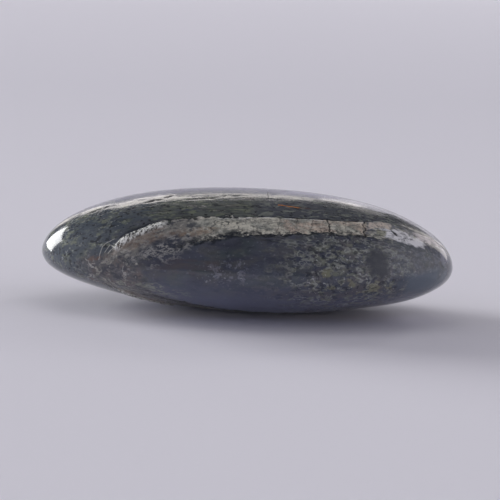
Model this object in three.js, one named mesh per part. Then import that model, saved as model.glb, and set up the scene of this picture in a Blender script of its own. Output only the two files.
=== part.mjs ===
// A hand-polished serpentine palm stone, all one piece: a flattened egg with a high crown, a
// shallower keel below the rim, a slightly fuller +X end, and a small worn flat that it rests on.
// Millimetres. +X runs along the length, +Z is up, and the origin is on the ground under the
// middle of the stone's outline.
import * as THREE from 'three';
import { mergeVertices } from 'three/addons/utils/BufferGeometryUtils.js';

// Driving dimensions.
const LENGTH = 65.4; // tip to tip, along X
const WIDTH = 41; // across the rim at mid length, along Y
const CROWN_RISE = 11.45; // from the rim up to the top
const KEEL_DROP = 7.8; // from the rim down to where an unworn keel would end
const FOOT_WEAR = 0.25; // what the flat takes off the keel

// How much flatter than a plain ellipse each side leaves the rim, as a share.
const CROWN_PINCH = 0.05;
const KEEL_PINCH = 0.23;

// How the width and height change from tip to tip, as shares: the +X end is the fuller one, and
// both ends are blunter than an ellipse.
const FULLER_END = 0.037;
const BLUNT_ENDS = 0.09;

// Low swells and hollows left by polishing by hand. Each lies across the stone at a place along
// X, fades out over its reach, and lifts the surface by its height (a negative one lowers it).
const CROWN_SWELLS = [
  { along: -17, reach: 7, height: 0.08 },
  { along: 2, reach: 9, height: -0.09 },
  { along: 27, reach: 3.5, height: -0.26 },
];
const KEEL_SWELLS = [
  { along: -22, reach: 7, height: 0.28 },
  { along: 4, reach: 9, height: -0.13 },
  { along: 18.5, reach: 5, height: 0.2 },
  { along: 27.5, reach: 4, height: -0.17 },
];

// Fineness of the facets.
const STEPS_ROUND = 96;
const CROWN_ROWS = 17;
const KEEL_ROWS = 17;
const HALVINGS = 40; // steps of the search for the flat's edge
const AXIS_TOLERANCE = 1e-6; // how far off the axis, on the unit ball, still counts as the pole

const FOOT_LEVEL = FOOT_WEAR - KEEL_DROP; // height of the flat, measured from the rim
const LAST_KEEL_LATITUDE = ((KEEL_ROWS - 1) / KEEL_ROWS) * (Math.PI / 2); // last row before the pole

// A ball of radius 1, turned about +Z from a half circle that starts and ends on the axis.
function unitBall() {
  const profile = [];
  for (let row = 0; row <= KEEL_ROWS + CROWN_ROWS; row += 1) {
    const below = row < KEEL_ROWS;
    const climb = below ? row / KEEL_ROWS - 1 : (row - KEEL_ROWS) / CROWN_ROWS;
    const latitude = (climb * Math.PI) / 2;
    const onAxis = row === 0 || row === KEEL_ROWS + CROWN_ROWS;
    profile.push(new THREE.Vector2(onAxis ? 0 : Math.cos(latitude), Math.sin(latitude)));
  }
  const ball = new THREE.LatheGeometry(profile, STEPS_ROUND);
  ball.rotateX(Math.PI / 2);
  ball.deleteAttribute('normal');
  ball.deleteAttribute('uv');
  return mergeVertices(ball);
}

// Share by which width and height change at a place between the tips (-1 to 1).
function fullness(tipward) {
  return 1 + FULLER_END * tipward + BLUNT_ENDS * tipward ** 2;
}

// Height that the swells add at a place along X.
function swellHeight(swells, along) {
  return swells.reduce(
    (sum, swell) => sum + swell.height * Math.exp(-(((along - swell.along) / swell.reach) ** 2)),
    0,
  );
}

// Height above the rim (negative below it) of a point of the unit ball, before the flat is worn.
function unwornHeight(point) {
  const steepness = Math.abs(point.z);
  const isCrown = point.z > 0;
  const pinch = isCrown ? CROWN_PINCH : KEEL_PINCH;
  const fullHeight = isCrown ? CROWN_RISE : -KEEL_DROP;
  const plainHeight = fullHeight * steepness * (1 - pinch * (1 - steepness));
  const swells = isCrown ? CROWN_SWELLS : KEEL_SWELLS;
  return plainHeight * fullness(point.x) + steepness * swellHeight(swells, (point.x * LENGTH) / 2);
}

// Point of the unit ball's lower half that lies in a direction round +Z, at a latitude below the rim.
function keelPoint(direction, latitude) {
  const out = Math.cos(latitude);
  return new THREE.Vector3(out * Math.cos(direction), out * Math.sin(direction), -Math.sin(latitude));
}

// Latitude below the rim at which the keel meets the flat in a direction, found by halving.
function footLatitude(direction) {
  let clear = 0;
  let worn = Math.PI / 2;
  for (let halving = 0; halving < HALVINGS; halving += 1) {
    const middle = (clear + worn) / 2;
    if (unwornHeight(keelPoint(direction, middle)) > FOOT_LEVEL) clear = middle;
    else worn = middle;
  }
  return clear;
}

// Moves a point of the unit ball to its place on the stone, with the flat at height 0. The keel's
// rows are drawn up so that the last one before the pole is the edge of the flat.
function placeOnStone(point) {
  let height = FOOT_LEVEL;
  if (point.z >= 0) {
    height = unwornHeight(point);
  } else if (Math.hypot(point.x, point.y) > AXIS_TOLERANCE) {
    const direction = Math.atan2(point.y, point.x);
    const latitude = -Math.asin(point.z) * (footLatitude(direction) / LAST_KEEL_LATITUDE);
    point.copy(keelPoint(direction, latitude));
    height = unwornHeight(point);
  }
  const along = (point.x * LENGTH) / 2;
  const across = (point.y * WIDTH * fullness(point.x)) / 2;
  return point.set(along, across, height - FOOT_LEVEL);
}

function stoneGeometry() {
  const geometry = unitBall();
  const places = geometry.attributes.position;
  const point = new THREE.Vector3();
  for (let index = 0; index < places.count; index += 1) {
    placeOnStone(point.fromBufferAttribute(places, index));
    places.setXYZ(index, point.x, point.y, point.z);
  }
  geometry.computeVertexNormals();
  return geometry;
}

// Polished serpentine: nearly black green-blue under a glassy shine.
const polishedSerpentine = new THREE.MeshStandardMaterial({
  color: '#3b4346',
  roughness: 0.12,
  metalness: 0,
});

const stone = new THREE.Mesh(stoneGeometry(), polishedSerpentine);
stone.name = 'serpentine_stone';

const part = new THREE.Group();
part.add(stone);

export default part;
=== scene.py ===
"""Looks of a hand-polished serpentine palm stone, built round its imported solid."""

import logging
import math
from dataclasses import dataclass, field
from enum import Enum

import bpy
from mathutils import Matrix, Vector


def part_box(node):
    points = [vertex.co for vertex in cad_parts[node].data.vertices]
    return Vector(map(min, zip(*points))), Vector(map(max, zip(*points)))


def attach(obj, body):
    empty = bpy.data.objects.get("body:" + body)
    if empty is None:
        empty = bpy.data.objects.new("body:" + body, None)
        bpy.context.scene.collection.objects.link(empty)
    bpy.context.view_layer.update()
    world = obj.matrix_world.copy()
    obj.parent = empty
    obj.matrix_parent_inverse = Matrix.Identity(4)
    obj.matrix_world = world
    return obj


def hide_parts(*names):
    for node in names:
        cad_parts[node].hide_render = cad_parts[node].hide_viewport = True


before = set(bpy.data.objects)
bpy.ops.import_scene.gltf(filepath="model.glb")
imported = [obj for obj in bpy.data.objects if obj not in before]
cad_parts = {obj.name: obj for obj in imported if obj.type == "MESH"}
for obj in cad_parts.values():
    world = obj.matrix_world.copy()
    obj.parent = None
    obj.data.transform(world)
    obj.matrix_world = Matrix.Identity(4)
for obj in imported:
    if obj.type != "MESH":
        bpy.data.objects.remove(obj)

log = logging.getLogger("palm_stone")

Tree = bpy.types.NodeTree
Socket = bpy.types.NodeSocket

MM = 0.001
FRAME_PIXELS = 500

MATH = "ShaderNodeMath"
VECTOR_MATH = "ShaderNodeVectorMath"
MAP_RANGE = "ShaderNodeMapRange"
MIX = "ShaderNodeMix"
FLOAT_A, FLOAT_B, COLOUR_A, COLOUR_B = 2, 3, 6, 7  # its inputs, several of which share a name
MIXED_COLOUR = 2  # its output for colours
SMOOTH = {"interpolation_type": "SMOOTHSTEP", "clamp": False}

THREAD_CORE = 0.3  # share of a thread's width that shows at full strength
LINE_FADE = (1.5, 0.5)  # where a drawn line starts to show and shows in full, in half widths


def linear(hex_colour: str) -> tuple[float, float, float, float]:
    """Turns an sRGB hex colour into linear RGBA.

    Args:
        hex_colour: Six hex digits after a hash sign, such as "#2b3136".

    Returns:
        The linear red, green and blue, and an alpha of 1.
    """
    channels = [int(hex_colour[i : i + 2], 16) / 255 for i in (1, 3, 5)]
    # The sRGB curve is straight near black and a power above that.
    low_end, slope, offset, power = 0.04045, 12.92, 0.055, 2.4
    red, green, blue = (
        c / slope if c <= low_end else ((c + offset) / (1 + offset)) ** power for c in channels
    )
    return red, green, blue, 1.0


def add_node(tree: bpy.types.NodeTree, kind: str, settings: dict | None = None,
             links: dict | None = None) -> bpy.types.Node:
    """Adds one node to a tree, with its settings and its incoming links.

    Args:
        tree: The shader, world or geometry node tree.
        kind: The node's type name.
        settings: Node properties by their lower-case name, and input values by input name or index.
        links: Output sockets by the name or index of the input that they feed.

    Returns:
        The new node.
    """
    node = tree.nodes.new(kind)
    for key, value in (settings or {}).items():
        if isinstance(key, str) and key.islower():
            setattr(node, key, value)
        else:
            node.inputs[key].default_value = value
    for key, socket in (links or {}).items():
        tree.links.new(socket, node.inputs[key])
    return node


def open_group(name: str, kind: str, takes: dict[str, str], gives: dict[str, str]) -> bpy.types.Node:
    """Starts a node group.

    Args:
        name: The group's name.
        kind: The type name of its tree.
        takes: The types of its inputs by their names.
        gives: The types of its outputs by their names.

    Returns:
        The node inside the group that brings its inputs in.
    """
    tree = bpy.data.node_groups.new(name, kind)
    for in_out, sockets in (("INPUT", takes), ("OUTPUT", gives)):
        for socket_name, socket_type in sockets.items():
            tree.interface.new_socket(socket_name, in_out=in_out, socket_type=socket_type)
    return add_node(tree, "NodeGroupInput")


def heading(azimuth_deg: float, elevation_deg: float) -> Vector:
    """Unit vector towards a place round the stone.

    Args:
        azimuth_deg: Degrees from straight behind the stone (+Y) towards its +X end.
        elevation_deg: Degrees above the horizon.

    Returns:
        The direction.
    """
    azimuth, elevation = math.radians(azimuth_deg), math.radians(elevation_deg)
    flat = math.cos(elevation)
    return Vector((math.sin(azimuth) * flat, math.cos(azimuth) * flat, math.sin(elevation)))


@dataclass(frozen=True)
class MattePaper:
    """Uncoated drawing paper: a matte, faintly lilac white with a soft fibre tooth."""

    colour: str = "#e2e0e8"
    roughness: float = 0.9
    specular: float = 0.2
    fibre_mm: float = 1.4
    fibre_detail: float = 5.0
    tooth_mm: float = 0.03

    def material(self) -> bpy.types.Material:
        """Builds the paper's material.

        Returns:
            The material.
        """
        made = bpy.data.materials.new("matte_paper")
        made.use_nodes = True
        tree = made.node_tree
        tree.nodes.clear()
        place = add_node(tree, "ShaderNodeTexCoord")
        in_mm = add_node(tree, "ShaderNodeMapping", {"Scale": (1 / MM,) * 3},
                         {"Vector": place.outputs["Object"]})
        # Real fibres are thinner than 0.1 mm. They are drawn as tufts, coarse enough to show.
        fibre = add_node(tree, "ShaderNodeTexNoise",
                         {"Scale": 1 / self.fibre_mm, "Detail": self.fibre_detail},
                         {"Vector": in_mm.outputs[0]})
        bump = add_node(tree, "ShaderNodeBump", {"Distance": self.tooth_mm * MM, "Strength": 1.0},
                        {"Height": fibre.outputs[0]})
        shader = add_node(tree, "ShaderNodeBsdfPrincipled",
                          {"Base Color": linear(self.colour), "Roughness": self.roughness,
                           "Specular IOR Level": self.specular}, {"Normal": bump.outputs[0]})
        add_node(tree, "ShaderNodeOutputMaterial", links={"Surface": shader.outputs[0]})
        return made


@dataclass
class PaperSweep:
    """The pale floor, climbing gently behind the stone so that it fills the view."""

    half_width_mm: float = 3000
    front_mm: float = 3000
    bend_start_mm: float = 60
    bend_radius_mm: float = 3400
    slope_deg: float = 7.5
    slope_run_mm: float = 1200
    bend_steps: int = 24
    finish: MattePaper = field(default_factory=MattePaper)

    def build(self) -> bpy.types.Object:
        """Models the sweep.

        Returns:
            The floor object.
        """
        bpy.ops.object.select_all(action="DESELECT")
        bpy.ops.mesh.primitive_plane_add(size=2)
        floor = bpy.context.object
        floor.name = "paper_floor"
        depth = self.front_mm + self.bend_start_mm
        floor.scale = (self.half_width_mm * MM, depth / 2 * MM, 1)
        floor.location = (0, (self.bend_start_mm - depth / 2) * MM, 0)
        bpy.ops.object.transform_apply(location=True, rotation=True, scale=True)
        self.select_far_edge(floor)
        slope = math.radians(self.slope_deg)
        hinge = (0, self.bend_start_mm * MM, self.bend_radius_mm * MM)
        bpy.ops.mesh.spin(steps=self.bend_steps, angle=slope, center=hinge, axis=(-1, 0, 0))
        run = Vector((0, math.cos(slope), math.sin(slope))) * self.slope_run_mm * MM
        bpy.ops.mesh.extrude_region_move(TRANSFORM_OT_translate={"value": run})
        bpy.ops.object.mode_set(mode="OBJECT")
        bpy.ops.object.shade_smooth()
        floor.data.materials.append(self.finish.material())
        return floor

    @staticmethod
    def select_far_edge(floor: bpy.types.Object) -> None:
        """Leaves edit mode open with only the edge behind the stone selected.

        Args:
            floor: The flat sheet.
        """
        bpy.ops.object.mode_set(mode="EDIT")
        bpy.ops.mesh.select_mode(type="EDGE")
        bpy.ops.mesh.select_all(action="DESELECT")
        bpy.ops.object.mode_set(mode="OBJECT")
        points = floor.data.vertices
        far = max(point.co.y for point in points)
        for edge in floor.data.edges:
            edge.select = all(points[i].co.y > far - MM for i in edge.vertices)
        bpy.ops.object.mode_set(mode="EDIT")


@dataclass(frozen=True)
class SoftPanel:
    """One soft rectangular light, seen from the stone as a patch of even brightness."""

    name: str
    azimuth_deg: tuple[float, float]
    elevation_deg: tuple[float, float]
    distance_mm: float
    brightness: float
    colour: str = "#ffffff"
    mirrored: bool = True
    lights: bool = True

    def build(self, target: Vector) -> bpy.types.Object:
        """Adds the light, facing the stone.

        Args:
            target: The point that the panel faces, in metres.

        Returns:
            The light object.
        """
        azimuth = sum(self.azimuth_deg) / 2
        elevation = sum(self.elevation_deg) / 2
        distance = self.distance_mm * MM
        half_wide = math.radians(self.azimuth_deg[1] - self.azimuth_deg[0]) / 2
        half_high = math.radians(self.elevation_deg[1] - self.elevation_deg[0]) / 2
        towards = heading(azimuth, elevation)
        lamp = bpy.data.lights.new(self.name, "AREA")
        lamp.shape = "RECTANGLE"
        lamp.size = 2 * distance * math.tan(half_wide) * math.cos(math.radians(elevation))
        lamp.size_y = 2 * distance * math.tan(half_high)
        lamp.color = linear(self.colour)[:3]
        # An even panel sends out its brightness times pi from each square metre.
        lamp.energy = self.brightness * math.pi * lamp.size * lamp.size_y
        panel = bpy.data.objects.new(self.name, lamp)
        panel.location = target + towards * distance
        panel.rotation_euler = towards.to_track_quat("Z", "Y").to_euler()
        panel.visible_camera = False
        panel.visible_glossy = self.mirrored
        panel.visible_diffuse = self.lights
        bpy.context.scene.collection.objects.link(panel)
        return panel


@dataclass(frozen=True)
class WallGlow:
    """A soft round glow on the room's walls, brightest at its middle."""

    azimuth_deg: float
    elevation_deg: float
    spread_deg: float
    brightness: float


PANES = "#fff8f3"  # daylight through the row of panes behind the stone
SHADED_WALL = "#ece8ff"
LIT_WALL = "#f6f2ff"


@dataclass
class StudioLight:
    """A dim room, a window low at the back left and a long bright strip behind the stone."""

    room_colour: str = "#f8f6ff"
    room_brightness: float = 0.11
    target_mm: tuple[float, float, float] = (0, 0, 10)
    glows: tuple[WallGlow, ...] = (
        WallGlow(90, 15, 62, 0.8),
        WallGlow(-100, 15, 55, 0.4),
    )
    panels: tuple[SoftPanel, ...] = (
        SoftPanel("window_light", (-76, -47), (0.5, 23), 9000, 21.0, mirrored=False),
        SoftPanel("window_glint", (-65, -41), (1.5, 23.5), 7000, 5.8, lights=False),
        SoftPanel("strip_start", (-28, -22.5), (13, 21.5), 4500, 1.7, PANES),
        SoftPanel("strip_left", (-27.5, -20.5), (22, 31.5), 4500, 2.3, PANES),
        SoftPanel("strip_wide", (-20.5, -15.5), (20.5, 32), 4500, 2.2, PANES),
        SoftPanel("strip_mid", (-15.5, -11), (24, 31.5), 4500, 2.4, PANES),
        SoftPanel("strip_narrow", (-11, -6.5), (23, 29.5), 4500, 1.8, PANES),
        SoftPanel("strip_low", (-6.5, -2.5), (21.5, 28.5), 4500, 1.5, PANES),
        SoftPanel("strip_end", (-2.5, 2.5), (17, 23.5), 4500, 1.35, PANES),
        SoftPanel("right_panel", (14, 32), (6, 27), 4500, 1.2, "#fff8f2"),
        SoftPanel("low_glow", (-30, -24), (0.5, 14.5), 4800, 1.4, PANES),
        SoftPanel("strip_tail", (2.5, 8), (21, 29), 4500, 0.45, PANES),
        SoftPanel("far_wall", (-24, -6), (0.5, 23), 4900, 0.52, SHADED_WALL),
        SoftPanel("far_wall_mid", (-6, -2), (0.5, 21), 4900, 0.66, SHADED_WALL),
        SoftPanel("far_wall_bright", (-2, 5), (0.5, 20.5), 4900, 1.0, LIT_WALL),
        SoftPanel("far_wall_low", (5, 12), (0.5, 12.5), 4900, 0.9, LIT_WALL),
        SoftPanel("far_wall_end", (12, 45), (0.5, 16), 4900, 0.5, SHADED_WALL),
        SoftPanel("overhead", (-60, 60), (60, 88), 4500, 0.7, mirrored=False),
        SoftPanel("left_fill", (-140, -80), (0.5, 38), 4500, 0.5, "#e8eaff", mirrored=False),
        SoftPanel("front_fill", (130, 230), (0.5, 14), 4500, 1.0, "#dfe4ff", mirrored=False),
        SoftPanel("right_lamp", (20, 30), (20, 30), 2200, 9.0, mirrored=False),
    )

    def room(self) -> bpy.types.World:
        """Builds the room's glow.

        Returns:
            The world.
        """
        world = bpy.data.worlds.new("dim_room")
        world.use_nodes = True
        tree = world.node_tree
        tree.nodes.clear()
        way = add_node(tree, "ShaderNodeTexCoord").outputs["Generated"]
        brightness = None
        for glow in self.glows:
            towards = heading(glow.azimuth_deg, glow.elevation_deg)
            nearness = add_node(tree, VECTOR_MATH, {"operation": "DOT_PRODUCT", 1: towards},
                                {0: way})
            lobe = add_node(tree, MAP_RANGE,
                            {**SMOOTH, "From Min": math.cos(math.radians(glow.spread_deg)), "From Max": 1.0,
                             "To Max": glow.brightness}, {"Value": nearness.outputs["Value"]})
            total = add_node(tree, MATH, {"operation": "ADD", 0: self.room_brightness},
                             {1: lobe.outputs[0]})
            if brightness is not None:
                tree.links.new(brightness, total.inputs[0])
            brightness = total.outputs[0]
        walls = add_node(tree, "ShaderNodeBackground", {"Color": linear(self.room_colour)},
                         {"Strength": brightness})
        add_node(tree, "ShaderNodeOutputWorld", links={"Surface": walls.outputs[0]})
        return world

    def build(self) -> list[bpy.types.Object]:
        """Adds the room and the panels.

        Returns:
            The panels.
        """
        bpy.context.scene.world = self.room()
        target = Vector(self.target_mm) * MM
        return [panel.build(target) for panel in self.panels]


@dataclass(frozen=True)
class TableCamera:
    """A camera a little above the table, turned slightly round the fuller end."""

    azimuth_deg: float = 8.0
    elevation_deg: float = 7.0
    roll_deg: float = 1.97
    distance_mm: float = 220.0
    focal_pixels: float = 1383.8
    sensor_mm: float = 36.0
    rim_height_mm: float = 7.55
    aim_right_mm: float = 0.755
    aim_up_mm: float = 1.548
    nearest_mm: float = 10
    farthest_mm: float = 20000

    def build(self) -> bpy.types.Object:
        """Adds the camera and makes it the scene's own.

        Returns:
            The camera object.
        """
        back = heading(self.azimuth_deg, self.elevation_deg)
        back.y = -back.y
        azimuth = math.radians(self.azimuth_deg)
        right = Vector((math.cos(azimuth), math.sin(azimuth), 0))
        up = back.cross(right)
        roll = math.radians(self.roll_deg)
        level_right, level_up = right.copy(), up.copy()
        right = level_right * math.cos(roll) + level_up * math.sin(roll)
        up = level_up * math.cos(roll) - level_right * math.sin(roll)
        rim_centre = Vector((0, 0, self.rim_height_mm))
        aim = rim_centre + level_right * self.aim_right_mm + level_up * self.aim_up_mm
        place = (aim + back * self.distance_mm) * MM
        lens = bpy.data.cameras.new("table_camera")
        lens.sensor_width = self.sensor_mm
        lens.lens = self.focal_pixels / FRAME_PIXELS * self.sensor_mm
        lens.clip_start = self.nearest_mm * MM
        lens.clip_end = self.farthest_mm * MM
        camera = bpy.data.objects.new("table_camera", lens)
        turn = Matrix((right, up, back)).transposed()
        camera.matrix_world = Matrix.Translation(place) @ turn.to_4x4()
        bpy.context.scene.collection.objects.link(camera)
        bpy.context.scene.camera = camera
        return camera


class Lie(Enum):
    """The directions that a pattern's own lengths run in."""

    STONE = "along the stone, across it and up"
    VEIN = "along the stone, square to the vein and down its dip"
    DRAWN = "as the vein's, without the dip and a little shaken, for lines drawn on the polished face"


class Measure(Enum):
    """A length that a band can be laid out by."""

    ALONG = "from the middle of the stone towards its fuller end"
    HEIGHT = "up from the table"
    BELOW_TOP = "down from the vein's upper edge"
    ABOVE_LOW = "up from the vein's lower edge"


GROUND_SOCKETS = {
    **{lie.name: "NodeSocketVector" for lie in Lie},
    **{measure.name: "NodeSocketFloat" for measure in Measure},
}


@dataclass(frozen=True)
class Ground:
    """A point's place in the stone, in millimetres, as the sockets that patterns read."""

    tree: Tree
    places: dict[Lie, Socket]
    lengths: dict[Measure, Socket]

    @classmethod
    def inside(cls, entry: bpy.types.Node) -> "Ground":
        """Finds the ground again inside a node group, from the node that brings it in."""
        places = {lie: entry.outputs[lie.name] for lie in Lie}
        return cls(entry.id_data, places, {measure: entry.outputs[measure.name] for measure in Measure})

    def sockets(self) -> dict[str, Socket]:
        """Names the ground's sockets as the inputs of a node group are named."""
        return {key.name: socket for key, socket in (*self.places.items(), *self.lengths.items())}

    def add(self, kind: str, settings: dict | None = None, links: dict | None = None) -> bpy.types.Node:
        """Adds one node to the ground's tree, as add_node does."""
        return add_node(self.tree, kind, settings, links)

    def grains(self, cloud: "Cloud") -> Socket:
        """Measures a place in grains of a cloud.

        A shader takes a Mapping node for it. A texture reads its output without a conversion, and
        conversions are all worked out before the layers, which then don't fit in one shader.

        Args:
            cloud: The cloud.

        Returns:
            The place, in grains.
        """
        per_grain = tuple(1 / grain for grain in cloud.grain_mm)
        shift = (cloud.shift,) * 3
        place = self.places[cloud.lie]
        if self.tree.bl_idname == "ShaderNodeTree":
            scaled = self.add("ShaderNodeMapping", {"Scale": per_grain, "Location": shift}, {0: place})
        else:
            scaled = self.add(VECTOR_MATH, {"operation": "MULTIPLY_ADD", 1: per_grain, 2: shift},
                              {0: place})
        return scaled.outputs[0]

    def overlap(self, masks: list[Socket]) -> Socket:
        """Joins masks.

        Args:
            masks: The masks, each from 0 to 1.

        Returns:
            A mask that is 1 only where all of them are.
        """
        joined = masks[0]
        for mask in masks[1:]:
            joined = self.add(MATH, {"operation": "MULTIPLY"}, {0: joined, 1: mask}).outputs[0]
        return joined


@dataclass(frozen=True)
class Cloud:
    """Blotches of one grain size: 1 where their noise stands above a level, 0 below it."""

    grain_mm: tuple[float, float, float]
    level: float = 0.5
    softness: float = 0.04
    detail: float = 2.0
    coarseness: float = 0.5
    twist: float = 0.0
    shift: float = 0.0
    lie: Lie = Lie.STONE

    def noise(self, ground: Ground) -> Socket:
        """Adds the cloud's own noise, from 0 to 1 and near 0.5 on the whole."""
        noise = ground.add("ShaderNodeTexNoise",
                           {"Scale": 1.0, "Detail": self.detail, "Roughness": self.coarseness,
                            "Distortion": self.twist}, {"Vector": ground.grains(self)})
        return noise.outputs[0]

    def mask(self, ground: Ground) -> Socket:
        """Adds the blotches: 1 inside them and 0 between them."""
        step = ground.add(MAP_RANGE,
                          {**SMOOTH, "From Min": self.level - self.softness,
                           "From Max": self.level + self.softness}, {"Value": self.noise(ground)})
        return step.outputs[0]


@dataclass(frozen=True)
class Specks(Cloud):
    """Small blotches with nearly clean edges."""

    detail: float = 3.0


@dataclass(frozen=True)
class Mottle(Cloud):
    """Blotches with fretted edges."""

    detail: float = 4.0


@dataclass(frozen=True)
class Grit(Cloud):
    """Blotches that crumble at their edges."""

    detail: float = 5.0
    coarseness: float = 0.65


@dataclass(frozen=True)
class Threads(Cloud):
    """Thin winding lines, drawn where a cloud's noise crosses its level."""

    width: float = 0.03

    def mask(self, ground: Ground) -> Socket:
        """Adds the lines.

        Args:
            ground: The ground they are laid on.

        Returns:
            A mask: 1 on the lines and 0 between them.
        """
        off_level = ground.add(MATH, {"operation": "SUBTRACT", 1: self.level},
                               {0: self.noise(ground)})
        distance = ground.add(MATH, {"operation": "ABSOLUTE"}, {0: off_level.outputs[0]})
        step = ground.add(MAP_RANGE,
                          {**SMOOTH, "From Min": self.width, "From Max": self.width * THREAD_CORE},
                          {"Value": distance.outputs[0]})
        return step.outputs[0]


@dataclass(frozen=True)
class Rings(Threads):
    """Small wobbly rings, one round each grain. Its level is their radius, as a share of a grain."""

    wobble: float = 0.9
    stirs_per_grain: float = 2.3

    def noise(self, ground: Ground) -> Socket:
        """Adds the distance from the nearest grain's middle, unevenly stretched.

        Args:
            ground: The ground that the rings are laid on.

        Returns:
            The distance, in grains.
        """
        grains = ground.grains(self)
        cells = ground.add("ShaderNodeTexVoronoi", {"Scale": 1.0}, {"Vector": grains})
        stir = ground.add("ShaderNodeTexNoise", {"Scale": self.stirs_per_grain, "Detail": self.detail},
                          {"Vector": grains})
        stirred = ground.add(MATH, {"operation": "MULTIPLY_ADD", 1: self.wobble},
                             {0: stir.outputs[0], 2: cells.outputs["Distance"]})
        return ground.add(MATH, {"operation": "SUBTRACT", 1: self.wobble / 2},
                          {0: stirred.outputs[0]}).outputs[0]


@dataclass(frozen=True)
class Patch:
    """A rounded region with a ragged edge. In the vein's lie it runs right through the stone."""

    centre_mm: tuple[float, float, float]
    reach_mm: tuple[float, float, float]
    edge: float = 0.15
    raggedness: float = 0.8
    tatter_mm: float = 2.0
    lie: Lie = Lie.STONE

    def mask(self, ground: Ground) -> Socket:
        """Adds the region.

        Args:
            ground: The ground it is laid on.

        Returns:
            A mask: 1 inside the region and 0 outside it.
        """
        per_reach = tuple(1 / reach for reach in self.reach_mm)
        minus_centre = tuple(-centre / reach for centre, reach in zip(self.centre_mm, self.reach_mm))
        scaled = ground.add(VECTOR_MATH,
                            {"operation": "MULTIPLY_ADD", 1: per_reach, 2: minus_centre},
                            {0: ground.places[self.lie]})
        distance = ground.add(VECTOR_MATH, {"operation": "LENGTH"}, {0: scaled.outputs[0]})
        tatter = Mottle((self.tatter_mm,) * 3, shift=sum(self.centre_mm)).noise(ground)
        torn = ground.add(MATH, {"operation": "MULTIPLY_ADD", 1: 2 * self.raggedness},
                          {0: tatter, 2: distance.outputs["Value"]})
        brim = 1 + self.raggedness
        step = ground.add(MAP_RANGE,
                          {**SMOOTH, "From Min": brim + self.edge, "From Max": brim - self.edge},
                          {"Value": torn.outputs[0]})
        return step.outputs[0]


@dataclass(frozen=True)
class Band:
    """All that lies between two values of a length, with soft edges."""

    measure: Measure
    low_mm: float
    high_mm: float
    edge_mm: float = 0.1

    def mask(self, ground: Ground) -> Socket:
        """Adds the band.

        Args:
            ground: The ground it is laid on.

        Returns:
            A mask: 1 inside the band and 0 outside it.
        """
        sides = []
        for limit, edge in ((self.low_mm, self.edge_mm), (self.high_mm, -self.edge_mm)):
            side = ground.add(MAP_RANGE, {**SMOOTH, "From Min": limit - edge, "From Max": limit + edge},
                              {"Value": ground.lengths[self.measure]})
            sides.append(side.outputs[0])
        return ground.overlap(sides)


@dataclass(frozen=True)
class Line:
    """A thin line on the polished face, through points given as (along, square to the vein)."""

    points_mm: tuple[tuple[float, float], ...]
    half_width_mm: float

    def mask(self, ground: Ground) -> Socket:
        """Adds the line.

        Args:
            ground: The ground it is drawn on.

        Returns:
            A mask: 1 on the line and 0 off it.
        """
        nearest = None
        for start, end in zip(self.points_mm, self.points_mm[1:]):
            run = Vector((end[0] - start[0], end[1] - start[1], 0))
            rel = ground.add(VECTOR_MATH, {"operation": "SUBTRACT", 1: (*start, 0)},
                             {0: ground.places[Lie.DRAWN]})
            share = ground.add(VECTOR_MATH, {"operation": "DOT_PRODUCT", 1: run / run.length_squared},
                               {0: rel.outputs[0]})
            held = ground.add("ShaderNodeClamp", links={0: share.outputs["Value"]})
            foot = ground.add(VECTOR_MATH, {"operation": "SCALE", 0: run}, {"Scale": held.outputs[0]})
            gap = ground.add(VECTOR_MATH, {"operation": "DISTANCE"},
                             {0: rel.outputs[0], 1: foot.outputs[0]}).outputs["Value"]
            if nearest is not None:
                gap = ground.add(MATH, {"operation": "MINIMUM"}, {0: nearest, 1: gap}).outputs[0]
            nearest = gap
        faint, full = (self.half_width_mm * share for share in LINE_FADE)
        step = ground.add(MAP_RANGE, {**SMOOTH, "From Min": faint, "From Max": full}, {"Value": nearest})
        return step.outputs[0]


Pattern = Cloud | Patch | Band | Line


@dataclass(frozen=True)
class Layer:
    """One mineral or mark laid over those before it.

    It shows where all its patterns overlap. Its relief is modelled in the skin (below 0 it is
    sunk), and its tooth is texture too fine to model.
    """

    colour: str
    within: tuple[Pattern, ...]
    strength: float = 1.0
    roughness: float | None = None
    relief_mm: float = 0.0
    tooth_mm: float = 0.0

    def mask(self, ground: Ground) -> Socket:
        """Adds the layer's region: 1 inside it and 0 outside it."""
        return ground.overlap([pattern.mask(ground) for pattern in self.within])


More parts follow.
